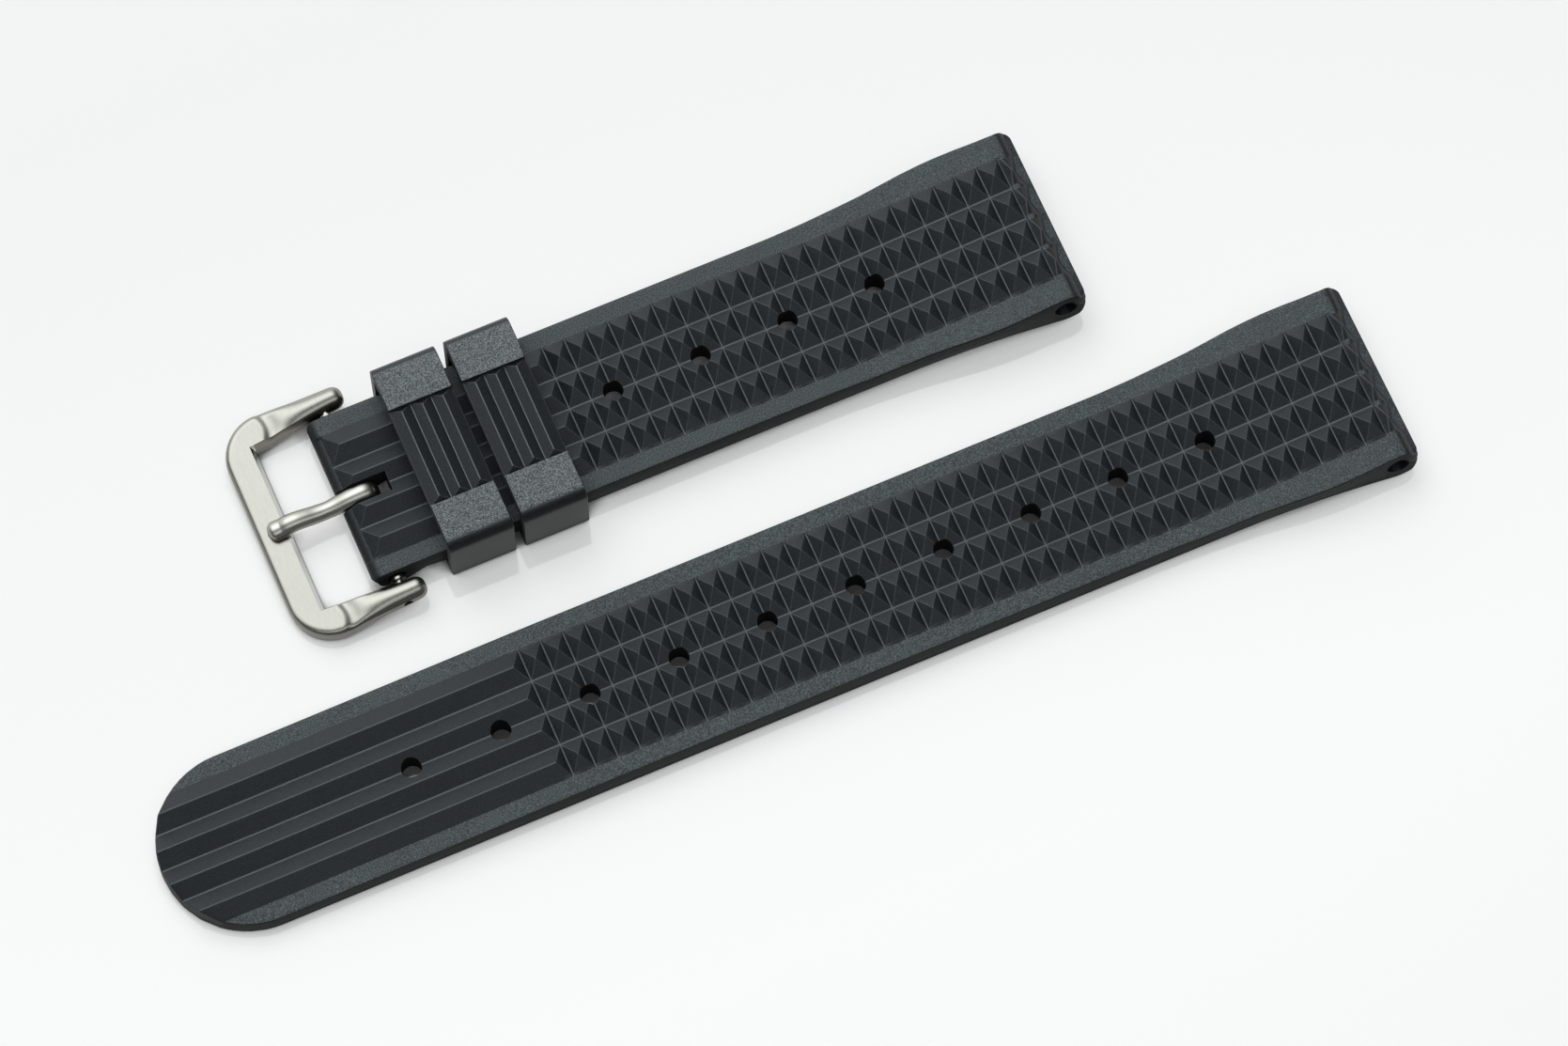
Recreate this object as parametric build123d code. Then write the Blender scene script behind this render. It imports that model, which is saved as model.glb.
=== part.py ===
from build123d import *
from math import asin, atan2, degrees
import os

# Two-piece rubber dive strap, laid out flat with its pin buckle. Millimetres.
# +X runs along both straps towards the ends that take the watch, +Y from the long strap to the
# short one, +Z up. The origin is the middle of the whole layout, on the surface that it lies on.

# Straps
lug_width = 20.0
width_taper = 1.15
long_length = 127.8
short_length = 75.3
strap_thickness = 2.7
lug_thickness = 4.4
tail_thickness = 2.1
flare_length = 19.0
lug_ramp_start = 0.2
lug_ramp_length = 20.0
tail_ramp_start = 40.0
tail_ramp_length = 30.0
corner_radius = 0.9

# Layout of the two straps on the table
straps_apart = 27.6
lug_ends_apart = 23.0

# Lug end: hole for the watch's own bar, rounded nose and lip
lug_bore = 2.3
lug_nose = 2.3
lug_bore_height = 2.6
lip_height = 3.4
lip_width = 0.95
lip_rise = 0.35
nose_start = 0.35

# Raised pattern: rows of pyramids, then long ridges
relief_height = 0.7
column_pitch = 2.32
row_pitch = 3.5
row_count = 4
long_columns = 37
short_columns = 21
cross_groove = 0.04
long_groove = 0.08
crest_excess = 0.05

# Adjustment holes
hole_diameter = 2.05
hole_step_columns = 4
first_hole_columns = 7
long_holes = 10
short_holes = 4

# Buckle end of the short strap
bar_inset = 2.4
bar_height = 1.1
bar_sleeve_wall = 0.95
slot_width = 2.1
slot_depth = 2.9
end_bevel = 1.1
end_bevel_drop = 1.0
ridge_end = 1.1
neck_rise = 0.55
neck_length = 1.0
neck_ramp = 1.2

# Spring bar
bar_diameter = 1.8
bar_clearance = 0.05
tube_wall = 0.18
tube_lip_length = 0.4
tube_lip_clearance = 0.05
plunger_shaft = 1.0
plunger_head_length = 0.8
plunger_head_gap = 0.1
plunger_head_clearance = 0.06
flange_diameter = 1.6
flange_thickness = 0.35
flange_gap = 0.1
tip_diameter = 0.84
tip_engagement = 1.2
tip_release = 0.05
tube_end_gap = 0.1
spring_wire = 0.2
spring_diameter = 1.0
spring_turns = 20
spring_seat_gap = 0.02

# Buckle frame
arm_side_gap = 0.55
lobe_width = 3.4
lobe_inset = 0.6
lobe_length = 4.6
arm_diameter = 2.3
arm_tip_reach = 2.3
arm_hole_clearance = 0.08
front_reach = 10.9
front_bar_width = 3.3
front_bar_thickness = 1.9
front_corner_radius = 4.4
inner_corner_radius = 0.3
inner_bevel = 0.5
arm_blend = 2.3
frame_edge = 0.35
table_gap = 0.05
notch_side_gap = 0.4
notch_length = 2.3
notch_depth = 0.6

# Buckle tongue
tongue_diameter = 1.6
tongue_clearance = 0.06
tongue_eye_wall = 0.8
tongue_side_gap = 0.25
tongue_dip = 0.8
tongue_dip_reach = 3.6
tongue_bar_gap = 0.08
tongue_hump = 0.5
tongue_hump_reach = 0.7
tongue_tip_inset = 1.9
tongue_dip_radius = 1.8
tongue_hump_radius = 1.4

# Keepers
keeper_length = 6.7
keeper_gap = 1.0
keeper_wall = 1.2
keeper_top_wall = 1.0
keeper_floor = 0.8
keeper_height = 7.4
keeper_side_gap = 0.25
keeper_rest_gap = 0.1
keeper_shoulder = 1.3
keeper_foot = 0.5
keeper_inner_radius = 0.3
keeper_from_bar = 5.2
panel_length = 10.7
panel_depth = 0.4
panel_ridges = 3
panel_ridge_pitch = 2.15
panel_ridge_height = 0.45
panel_ridge_crest = 0.1

# One overrun for every cut
overrun = 1.0

# Widths that follow the lugs
strap_width = lug_width - 2 * width_taper
arm_gap = strap_width + 2 * arm_side_gap
arm_y = (arm_gap + arm_diameter) / 2
front_opening = arm_gap - 2 * lobe_inset
buckle_width = front_opening + 2 * lobe_width

# Places in the layout
long_bore_x = long_length / 2 - lug_nose
short_bore_x = long_bore_x - lug_ends_apart
long_y = -(straps_apart + (buckle_width - lug_width) / 2) / 2
short_y = long_y + straps_apart
short_lift = keeper_floor + keeper_rest_gap
long_end = lug_nose - long_length
short_end = lug_nose - short_length
bar_x = short_end + bar_inset
bore_radius = bar_diameter / 2 + bar_clearance
plunger_travel = tip_engagement + tip_release
flange_end_y = arm_gap / 2 - flange_gap
tube_length = 2 * (flange_end_y - flange_thickness - plunger_travel - tube_end_gap)


def on_short(shape):
    """From the short strap's own place, bore axis at x 0 and underside at z 0, to the layout."""
    return Pos(short_bore_x, short_y, short_lift) * shape


def on_long(shape):
    """From the long strap's own place to the layout."""
    return Pos(long_bore_x, long_y, 0) * shape


def level(stations, x):
    """Height of the smooth top face at x, straight between the stations."""
    for (x0, z0), (x1, z1) in zip(stations, stations[1:]):
        if x <= x1:
            return z0 + (z1 - z0) * (x - x0) / (x1 - x0)
    return stations[-1][1]


def lug_stations():
    """Top face from the thin strap up its ramp to the thick end."""
    return [
        (-lug_ramp_start - lug_ramp_length, strap_thickness),
        (-lug_ramp_start, lug_thickness),
        (lug_nose + overrun, lug_thickness),
    ]


def column_points(stations, columns):
    """Side outline of the pyramids' tops, from the first cross groove to the lip."""
    points = []
    for column in range(columns):
        groove_x = (column - columns) * column_pitch
        crest_x = groove_x + column_pitch / 2
        points.append((groove_x, level(stations, groove_x) + cross_groove))
        points.append((crest_x, level(stations, crest_x) + relief_height + crest_excess))
    half_crest = lip_width / 2
    points.append((0, lug_thickness + cross_groove))
    points.append((half_crest, lug_thickness + relief_height * half_crest / (column_pitch / 2)))
    points.append((lug_nose - lip_width, lip_height + lip_rise))
    return points


def across(face, amount=lug_width):
    """Solid that runs across the strap, from an outline drawn as (x, z)."""
    return extrude(Plane.XZ * face, amount=amount, both=True)


def side_body(top):
    """Solid across the strap with a given top, a flat underside and the lug end's round nose."""
    low = (top[0][0], 0)
    outline = Polyline((-nose_start, 0), low, *top, (lug_nose, lip_height))
    nose = TangentArc((-nose_start, 0), (lug_nose, lip_height), tangent=(1, 0))
    return across(make_face([*outline.edges(), nose.edge()]))


def row_section(x, top):
    """Cross-section at x with one ridge for each row of the pattern."""
    half = lug_width
    rows = row_count * row_pitch / 2
    points = [(-half, -lug_thickness), (-half, top), (-rows, top)]
    for row in range(row_count):
        groove = -rows + row * row_pitch
        if row:
            points.append((groove, top + long_groove))
        points.append((groove + row_pitch / 2, top + relief_height))
    points += [(rows, top), (half, top), (half, -lug_thickness)]
    return make_face(Polyline(*[(x, y, z) for y, z in points], close=True))


def row_body(stations):
    """The rows of ridges all the way along the strap, following the top face."""
    sections = [row_section(x, top) for x, top in stations]
    return loft(sections, ruled=True)


def flared_side(start_x):
    """One long edge of the strap, widening to the lug end, with its rounded corner."""
    half = strap_width / 2
    flare_x = lug_nose - flare_length
    corner = lug_nose - corner_radius
    straight = Line((start_x, half), (flare_x, half))
    flare = TangentArc((flare_x, half), (corner, lug_width / 2), tangent=(1, 0))
    turn = RadiusArc((corner, lug_width / 2), (lug_nose, lug_width / 2 - corner_radius), corner_radius)
    end = Line((lug_nose, lug_width / 2 - corner_radius), (lug_nose, 0))
    return [straight, flare, turn, end]


def outline_body(start_x, start_edges):
    """Upright block with the strap's outline seen from above."""
    half_edges = Curve() + [*start_edges, *flared_side(start_x)]
    edges = [*half_edges.edges(), *mirror(half_edges, about=Plane.XZ).edges()]
    return extrude(make_face(edges), amount=lug_thickness + lip_height, both=True)


def lug_bore_cutter():
    """Bore across the lug end for the watch's bar."""
    return Pos(0, 0, lug_bore_height) * Rot(90, 0, 0) * Cylinder(lug_bore / 2, lug_width + overrun)


def hole_cutters(count):
    """Adjustment holes down the middle, each where a cross groove meets the middle row."""
    height = lug_thickness * 2
    places = [-(first_hole_columns + hole_step_columns * hole) * column_pitch for hole in range(count)]
    return [Pos(x, 0, 0) * Cylinder(hole_diameter / 2, height) for x in places]


def long_strap():
    """Long strap: lug end, pyramids, long ridges and a round tail."""
    half = strap_width / 2
    stations = [
        (long_end - overrun, tail_thickness),
        (long_end + tail_ramp_start - tail_ramp_length, tail_thickness),
        (long_end + tail_ramp_start, strap_thickness),
        *lug_stations(),
    ]
    ridge_end_x = -(long_columns + 1 / 2) * column_pitch
    ridge_ends = [stations[0], stations[1], (ridge_end_x, level(stations, ridge_end_x))]
    ridges = [(x, z + relief_height + crest_excess) for x, z in ridge_ends]
    sides = side_body(ridges + column_points(stations, long_columns))
    tip = RadiusArc((long_end, 0), (long_end + half, half), half)
    body = sides & row_body(stations) & outline_body(long_end + half, [tip])
    return body - [lug_bore_cutter(), *hole_cutters(long_holes)]


def under_cutter():
    """What is cut away below the buckle end, leaving a round sleeve about the bar and a thin neck."""
    radius = bore_radius + bar_sleeve_wall
    neck_x = bar_x + radius + neck_ramp
    block = Polyline(
        (short_end, strap_thickness - end_bevel_drop),
        (bar_x - radius, bar_height),
        (bar_x, bar_height),
        (neck_x, neck_rise),
        (neck_x + neck_length, neck_rise),
        (neck_x + neck_length + neck_ramp, 0),
        (neck_x + neck_length + neck_ramp, -overrun),
        (short_end - overrun, -overrun),
        (short_end - overrun, strap_thickness - end_bevel_drop),
        close=True,
    )
    return across(make_face(block) - Pos(bar_x, bar_height) * Circle(radius))


def sleeve():
    """Round sleeve about the spring bar, which hangs a little below the strap's flat underside."""
    return across(Pos(bar_x, bar_height) * Circle(bore_radius + bar_sleeve_wall))


def bar_cutters():
    """Bore for the spring bar and the slot that the tongue swings in."""
    bore = Pos(bar_x, 0, bar_height) * Rot(90, 0, 0) * Cylinder(bore_radius, lug_width + overrun)
    length = bar_inset + slot_depth + overrun
    aligned = (Align.MAX, Align.CENTER, Align.CENTER)
    slot = Pos(bar_x + slot_depth, 0, 0) * Box(length, slot_width, lug_thickness * 2, align=aligned)
    return [bore, slot]


def short_strap():
    """Short strap: lug end, pyramids, ridges and the sleeve that carries the spring bar."""
    stations = [(short_end - overrun, strap_thickness), *lug_stations()]
    crest = strap_thickness + relief_height + crest_excess
    ridge_end_x = -(short_columns + 1 / 2) * column_pitch
    end_top = [
        (short_end, strap_thickness - end_bevel_drop),
        (short_end + end_bevel, strap_thickness),
        (short_end + end_bevel + ridge_end, crest),
        (ridge_end_x, crest),
    ]
    sides = side_body(end_top + column_points(stations, short_columns))
    half = strap_width / 2
    corner_y = half - corner_radius
    end = Line((short_end, 0), (short_end, corner_y))
    turn = RadiusArc((short_end, corner_y), (short_end + corner_radius, half), corner_radius)
    sides = sides - under_cutter() + sleeve()
    body = sides & row_body(stations) & outline_body(short_end + corner_radius, [end, turn])
    return body - [lug_bore_cutter(), *bar_cutters(), *hole_cutters(short_holes)]


def ring_section(half_width, bottom, top, top_radius, bottom_radius):
    """Rounded outline across the strap, with its own radius for the top and the bottom corners."""
    height = top - bottom
    side = Rectangle(half_width * 2, height, align=(Align.CENTER, Align.MIN))
    side = fillet(side.vertices().group_by(Axis.Y)[-1], top_radius)
    side = fillet(side.vertices().group_by(Axis.Y)[0], bottom_radius)
    return Plane.YZ * Pos(0, bottom) * side


def keeper(start_x):
    """Rubber loop round the strap, with a sunk panel of ridges on its top."""
    inner_half = strap_width / 2 + keeper_side_gap
    outer = ring_section(inner_half + keeper_wall, 0, keeper_height, keeper_shoulder, keeper_foot)
    ceiling = keeper_height - keeper_top_wall
    inner = ring_section(inner_half, keeper_floor, ceiling, keeper_inner_radius, keeper_inner_radius)
    loop = extrude(outer - inner, amount=keeper_length)
    panel_floor = keeper_height - panel_depth
    aligned = (Align.MIN, Align.CENTER, Align.MIN)
    loop -= Pos(-overrun, 0, panel_floor) * Box(
        keeper_length + 2 * overrun, panel_length, panel_depth + overrun, align=aligned
    )
    middle = keeper_length / 2
    for ridge in range(panel_ridges):
        x = middle + (ridge - (panel_ridges - 1) / 2) * panel_ridge_pitch
        loop += Pos(x, 0, panel_floor) * panel_ridge()
    return Pos(short_bore_x + start_x, short_y, 0) * loop


def panel_ridge():
    """One ridge of a keeper's panel, running across the strap, with sloped ends."""
    low = (panel_ridge_pitch - panel_ridge_crest) / 2
    base = Rectangle(panel_ridge_pitch - panel_ridge_crest, panel_length - panel_ridge_crest)
    crest = Rectangle(panel_ridge_crest, panel_length - panel_ridge_crest - 2 * low)
    return loft([base, Pos(0, 0, panel_ridge_height) * crest])


def at_bar(shape):
    """From a place about the spring bar's axis to the layout."""
    return on_short(Pos(bar_x, 0, bar_height) * shape)


def across_bar(radius, start_y, end_y):
    """Round length along the spring bar's axis."""
    aligned = (Align.CENTER, Align.CENTER, Align.MIN)
    return Pos(0, start_y, 0) * Rot(-90, 0, 0) * Cylinder(radius, end_y - start_y, align=aligned)


def spring_bar_tube():
    """Thin tube of the spring bar, its ends turned in to hold the plungers."""
    half = tube_length / 2
    radius = bar_diameter / 2
    tube = across_bar(radius, -half, half)
    tube -= across_bar(plunger_shaft / 2 + tube_lip_clearance, -half - overrun, half + overrun)
    inner = half - tube_lip_length
    return at_bar(tube - across_bar(radius - tube_wall, -inner, inner))


def plunger_head_y():
    """Inner face of a plunger's head, where the spring sits."""
    return tube_length / 2 - tube_lip_length - plunger_head_gap - plunger_head_length


def spring_bar_plunger(side):
    """Plunger of the spring bar: head in the tube, shaft, flange, and tip in the buckle's arm."""
    head_y = plunger_head_y()
    flange_y = flange_end_y - flange_thickness
    tip_y = arm_gap / 2 + tip_engagement
    head_radius = bar_diameter / 2 - tube_wall - plunger_head_clearance
    plunger = across_bar(head_radius, head_y, head_y + plunger_head_length)
    plunger += across_bar(plunger_shaft / 2, head_y, flange_end_y)
    plunger += across_bar(flange_diameter / 2, flange_y, flange_end_y)
    plunger += across_bar(tip_diameter / 2, flange_y, tip_y)
    if side < 0:
        plunger = mirror(plunger, about=Plane.XZ)
    return at_bar(plunger)


def spring_bar_spring():
    """Coil spring between the two plungers, one unbroken wire."""
    length = 2 * (plunger_head_y() - spring_seat_gap) - spring_wire
    pitch = length / spring_turns
    gap = pitch - spring_wire
    print("least gap between the spring's turns", round(gap, 3))
    path = Helix(pitch, length, spring_diameter / 2)
    start = Plane(origin=path @ 0, z_dir=path % 0)
    wire = sweep(start * Circle(spring_wire / 2), path)
    return at_bar(Pos(0, -length / 2, 0) * Rot(-90, 0, 0) * wire)


def frame_droop():
    """Angle at which the frame lies with its front edge on the table, in degrees."""
    axis_height = short_lift + bar_height
    half = front_bar_thickness / 2
    reach = (front_reach ** 2 + half ** 2) ** (1 / 2)
    return degrees(asin((axis_height - table_gap) / reach) - atan2(half, front_reach))


def arm(side):
    """One arm of the frame: flat at the front corner, round towards its tip, with the bar's hole."""
    radius = arm_diameter / 2
    lobe_x = -front_reach + lobe_length
    round_x = lobe_x + arm_blend
    lobe_y = (front_opening + lobe_width) / 2
    lobe = Plane((lobe_x, side * lobe_y, 0), x_dir=(0, 1, 0), z_dir=(1, 0, 0))
    lobe_face = lobe * RectangleRounded(lobe_width, front_bar_thickness, frame_edge)
    ring = Plane((round_x, side * arm_y, 0), x_dir=(0, 1, 0), z_dir=(1, 0, 0))
    blend = loft([lobe_face, ring * Circle(radius)])
    length = arm_tip_reach - radius - round_x
    rod = Pos(round_x, side * arm_y, 0) * Rot(0, 90, 0) * Cylinder(
        radius, length, align=(Align.CENTER, Align.CENTER, Align.MIN)
    )
    tip = Pos(arm_tip_reach - radius, side * arm_y, 0) * Sphere(radius)
    return blend + rod + tip


def opening_face(margin):
    """Outline of the frame's opening by the front bar, widened all round by a margin."""
    start_x = front_bar_width - front_reach - margin
    opening = Rectangle(lobe_length, front_opening + 2 * margin, align=(Align.MIN, Align.CENTER))
    opening = Pos(start_x, 0) * opening
    return fillet(opening.vertices().group_by(Axis.X)[0], inner_corner_radius)


def front_plate():
    """Flat front bar with its round outer corners, its opening and the bevel round the opening."""
    half = front_bar_thickness / 2
    outer = Pos(-front_reach, 0) * Rectangle(lobe_length, buckle_width, align=(Align.MIN, Align.CENTER))
    outer = fillet(outer.vertices().group_by(Axis.X)[0], front_corner_radius)
    plate = extrude(outer - opening_face(0), amount=half, both=True)
    bevel_faces = [Pos(0, 0, half - inner_bevel) * opening_face(0), Pos(0, 0, half) * opening_face(inner_bevel)]
    return plate - loft(bevel_faces)


def tongue_notch():
    """Notch in the inner side of the front bar, where the tongue's tip lies."""
    width = tongue_diameter + 2 * notch_side_gap
    inner_x = front_bar_width - front_reach
    floor = front_bar_thickness / 2 - notch_depth
    aligned = (Align.MIN, Align.CENTER, Align.MIN)
    block = Box(notch_length + overrun, width, notch_depth + overrun, align=aligned)
    return Pos(inner_x - notch_length, 0, floor) * block


def buckle_frame():
    """One-piece frame: the front plate and two arms with small holes for the spring bar."""
    frame = front_plate() + arm(1) + arm(-1)
    frame -= across_bar(tip_diameter / 2 + arm_hole_clearance, -buckle_width, buckle_width)
    return at_bar(Rot(0, -frame_droop(), 0) * (frame - tongue_notch()))


def buckle_tongue():
    """Tongue: an eye round the spring bar, a shank that dips, and a tip that lies in the notch."""
    radius = tongue_diameter / 2
    eye_bore = bar_diameter / 2 + tongue_clearance
    rest = front_bar_thickness / 2 - notch_depth + tongue_bar_gap + radius
    points = [
        (0, 0, eye_bore + tongue_eye_wall / 2),
        (-tongue_dip_reach, 0, tongue_dip),
        (front_bar_width - front_reach + tongue_hump_reach, 0, rest + tongue_hump),
        (tongue_tip_inset - front_reach, 0, rest),
    ]
    path = FilletPolyline(*points, radius=[tongue_dip_radius, tongue_hump_radius])
    start = Plane(origin=path @ 0, z_dir=path % 0)
    shank = sweep(start * Circle(radius), path)
    ends = Pos(*points[0]) * Sphere(radius) + Pos(*points[-1]) * Sphere(radius)
    half = slot_width / 2 - tongue_side_gap
    eye = across_bar(eye_bore + tongue_eye_wall, -half, half)
    tongue = eye + shank + ends - across_bar(eye_bore, -strap_width, strap_width)
    return at_bar(Rot(0, -frame_droop(), 0) * tongue)


front_keeper_x = bar_x + keeper_from_bar
rear_keeper_x = front_keeper_x + keeper_length + keeper_gap

nodes = {
    "long_strap": on_long(long_strap()),
    "short_strap": on_short(short_strap()),
    "front_keeper": keeper(front_keeper_x),
    "rear_keeper": keeper(rear_keeper_x),
    "spring_bar_tube": spring_bar_tube(),
    "spring_bar_far_plunger": spring_bar_plunger(1),
    "spring_bar_near_plunger": spring_bar_plunger(-1),
    "spring_bar_spring": spring_bar_spring(),
    "buckle_frame": buckle_frame(),
    "buckle_tongue": buckle_tongue(),
}

os.makedirs("parts", exist_ok=True)
for name, shape in nodes.items():
    export_step(shape, f"parts/{name}.step")
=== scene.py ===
import math

import bmesh
import bpy
import numpy as np
from mathutils import Matrix, Vector


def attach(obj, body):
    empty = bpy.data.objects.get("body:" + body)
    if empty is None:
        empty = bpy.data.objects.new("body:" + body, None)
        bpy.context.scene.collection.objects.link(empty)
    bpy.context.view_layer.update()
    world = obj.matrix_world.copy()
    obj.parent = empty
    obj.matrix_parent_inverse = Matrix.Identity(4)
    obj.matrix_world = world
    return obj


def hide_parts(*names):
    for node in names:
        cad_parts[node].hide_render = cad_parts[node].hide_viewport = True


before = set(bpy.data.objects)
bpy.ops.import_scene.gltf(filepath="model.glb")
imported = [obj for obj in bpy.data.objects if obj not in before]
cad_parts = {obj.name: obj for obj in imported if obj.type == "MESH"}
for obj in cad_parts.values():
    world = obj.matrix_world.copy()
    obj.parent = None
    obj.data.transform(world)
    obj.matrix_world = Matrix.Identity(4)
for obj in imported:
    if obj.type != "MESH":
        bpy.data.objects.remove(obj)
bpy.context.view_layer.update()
scene = bpy.context.scene
scene.view_settings.view_transform = "Standard"

# Camera: a long lens, as the photograph was taken. It stands high over the near left corner of the
# table and looks down steeply, so the two straps run up to the right across the picture.
camera_place, camera_aim = (-0.0849, -0.2118, 0.6022), (0.1396, 0.3212, -0.9367)


def new_object(name, data):
    made = bpy.data.objects.new(name, data)
    scene.collection.objects.link(made)
    return made


camera_data = bpy.data.cameras.new("camera")
camera_data.lens = 151.6
camera_data.clip_end = 20
camera = new_object("camera", camera_data)
look = Vector(camera_aim).normalized()
across = look.cross(Vector((0, 0, 1))).normalized()
turned = Matrix((across, across.cross(look), -look)).transposed().to_4x4()
camera.matrix_world = Matrix.Translation(camera_place) @ turned
scene.camera = camera

# Table: a smooth white top, which carries a faint reflection and the shadow of what lies on it. Its
# white comes from a glow that only the camera and glossy surfaces see. Where the glow fades it is
# painted shade: darker towards the back, and a painted shadow close under the pieces, where little sky is open.
table_half = 3
table_tone, seen_tone, glow_tone = (0.93, 0.905, 0.89, 1), (0.45, 0.43, 0.425, 1), (0.985, 1, 0.995, 1)
glow_reach, glow_under, glow_back = 0.0025, (0.4, 0.56, 0, 0.51), (-0.045, 0.06, 1.02, 0.78)


class Nodes:
    """Short hand for building a tree of nodes, for a material, a group or the world."""

    def __init__(self, tree):
        self.tree = tree
        self.inputs = None
        self.outputs = None

    def put(self, value, socket):
        """Links another node's socket to this one, or sets the plain value."""
        if isinstance(value, bpy.types.NodeSocket):
            self.tree.links.new(value, socket)
        else:
            socket.default_value = value

    def add(self, kind, values=None, **settings):
        node = self.tree.nodes.new(kind)
        for key, value in settings.items():
            setattr(node, key, value)
        for key, value in (values or {}).items():
            self.put(value, node.inputs[key])
        return node

    def math(self, operation, *values, clamp=False):
        values = dict(enumerate(values))
        return self.add("ShaderNodeMath", values, operation=operation, use_clamp=clamp).outputs[0]

    def vector(self, operation, *values, output="Vector", **named):
        values = {**dict(enumerate(values)), **named}
        return self.add("ShaderNodeVectorMath", values, operation=operation).outputs[output]

    def span(self, value, start, end, low, high, **settings):
        """Maps the range from start to end onto the range from low to high, and holds at its ends."""
        values = {"Value": value, "From Min": start, "From Max": end, "To Min": low, "To Max": high}
        return self.add("ShaderNodeMapRange", values, **settings).outputs["Result"]

    def mix(self, share, first, second):
        values = {"Factor": share, "A": first, "B": second}
        return self.add("ShaderNodeMix", values, data_type="RGBA").outputs["Result"]

    def place(self, output="Object"):
        return self.add("ShaderNodeTexCoord").outputs[output]

    def noise(self, **values):
        return self.add("ShaderNodeTexNoise", values).outputs["Fac"]

    def sockets(self, inputs, outputs):
        """Gives a group its named sockets: inputs as name, kind and default, outputs as name and kind."""
        for name, kind, default in inputs:
            socket = self.tree.interface.new_socket(name, in_out="INPUT", socket_type="NodeSocket" + kind)
            if default is not None:
                socket.default_value = default
        for name, kind in outputs:
            self.tree.interface.new_socket(name, in_out="OUTPUT", socket_type="NodeSocket" + kind)
        self.inputs = self.tree.nodes.new("NodeGroupInput").outputs
        self.outputs = self.tree.nodes.new("NodeGroupOutput").inputs


def new_material(name, **values):
    """A material, the short hand for its nodes, and the inputs of its shader."""
    material = bpy.data.materials.new(name)
    material.use_nodes = True
    nodes = Nodes(material.node_tree)
    sockets = nodes.tree.nodes["Principled BSDF"].inputs
    for key, value in values.items():
        sockets[key].default_value = value
    return material, nodes, sockets


table_mesh = bpy.data.meshes.new("table")
plan = [(-table_half, -table_half), (table_half, -table_half), (table_half, table_half), (-table_half, table_half)]
table_mesh.from_pydata([(x, y, 0) for x, y in plan], [], [(0, 1, 2, 3)])
table = new_object("table", table_mesh)
white_top, n, shader = new_material("white_table", Roughness=0.05, IOR=1.6)
ray = n.add("ShaderNodeLightPath").outputs
seen = n.math("MAXIMUM", ray["Is Camera Ray"], ray["Is Glossy Ray"])
n.put(n.mix(seen, table_tone, seen_tone), shader["Base Color"])
n.put(glow_tone, shader["Emission Color"])
# Painted shadow: the glow is cut where little sky is open, close under and between the pieces.
open_share = n.add("ShaderNodeAmbientOcclusion", {"Distance": glow_reach}, samples=8).outputs["AO"]
depth = n.add("ShaderNodeSeparateXYZ", {0: n.place()}).outputs["Y"]
glow = n.math("MULTIPLY", n.span(open_share, *glow_under), n.span(depth, *glow_back))
n.put(n.math("MULTIPLY", seen, glow), shader["Emission Strength"])
table_mesh.materials.append(white_top)

# Light: a wide soft source overhead that reaches down behind the straps, in a dim room. The room
# is darker to the left, to the right and on the camera's side. Each fade holds the directions
# between which the light changes, and its levels there.
day_tone, source_level = (0.925, 0.98, 1, 1), 2.4
source_middle, source_side = -0.1, (0.25, 0.75, 1, 0)
source_back, source_height = (-0.1, 0.45, 0, 1), (0.1, 0.9, 0.15, 1)
room_height, room_back = (0.1, 0.55, 0.55, 0.1), (-0.5, 0.2, 0.45, 1)
front_middle, front_side, front_height = -0.45, (0.12, 0.3, 1, 0), (0.55, 0.8, 0, 1)
world = bpy.data.worlds.new("studio")
scene.world = world
world.use_nodes = True
n = Nodes(world.node_tree)
n.tree.nodes.clear()
toward = n.add("ShaderNodeSeparateXYZ", {0: n.place("Generated")}).outputs


def faded(*pairs):
    """How much of a light is left where each value fades it over its own range."""
    left = 1.0
    for value, fade in pairs:
        share = n.span(value, *fade, interpolation_type="SMOOTHSTEP")
        left = share if left == 1.0 else n.math("MULTIPLY", left, share)
    return left


off_middle = n.math("ABSOLUTE", n.math("SUBTRACT", toward["X"], source_middle))
off_front = n.math("ABSOLUTE", n.math("SUBTRACT", toward["Y"], front_middle))
overhead = faded((off_middle, source_side), (toward["Y"], source_back), (toward["Z"], source_height))
room = faded((toward["Z"], room_height), (toward["Y"], room_back))
front = faded((off_front, front_side), (toward["Z"], front_height))
level = n.math("ADD", n.math("ADD", n.math("MULTIPLY", overhead, source_level), room), front)
sky = n.add("ShaderNodeBackground", {"Color": day_tone, "Strength": level})
n.add("ShaderNodeOutputWorld", {"Surface": sky.outputs["Background"]})

lamp_data = bpy.data.lights.new("softbox", "AREA")
lamp_data.size = 0.3
lamp_data.energy = 0.6
lamp = new_object("softbox", lamp_data)
lamp.location = (-0.05, 0.30, 0.42)
lamp.visible_glossy = False
lamp.rotation_euler = (-lamp.location).to_track_quat("-Z", "Y").to_euler()

# Long strap: one moulding in black rubber, flat below, with rows of pyramids that turn into long
# ridges at the round tail. Its thick end has a bore for the watch's own bar. Sizes in millimetres,
# with x from the bore's middle and z from the underside.
mm = 0.001
long_length, long_columns, long_holes = 127.8, 37, 10
long_place = (0.0616, -0.0149, 0.0)
column, row, rows = 2.32, 3.5, 4
band = rows * row / 2
crest_height, valley_depth, valley_share, crest_share = 0.70, 0.10, 0.042, 0.035
border_share = valley_depth / (valley_depth + crest_height)
thin, thick, tail_thick = 2.7, 4.4, 2.1
thick_start, thick_run, thick_swell, tail_start, tail_run = -20.2, 20, 0.05, 40, 30
half_width, lug_half, lug_flare, lug_corner = 8.85, 10.0, 19, 0.9
plain_x, tail_blend, straight_step = -30, 3, 3
lug_nose, nose_radius, nose_share = 2.3, 2.85, 0.93
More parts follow.
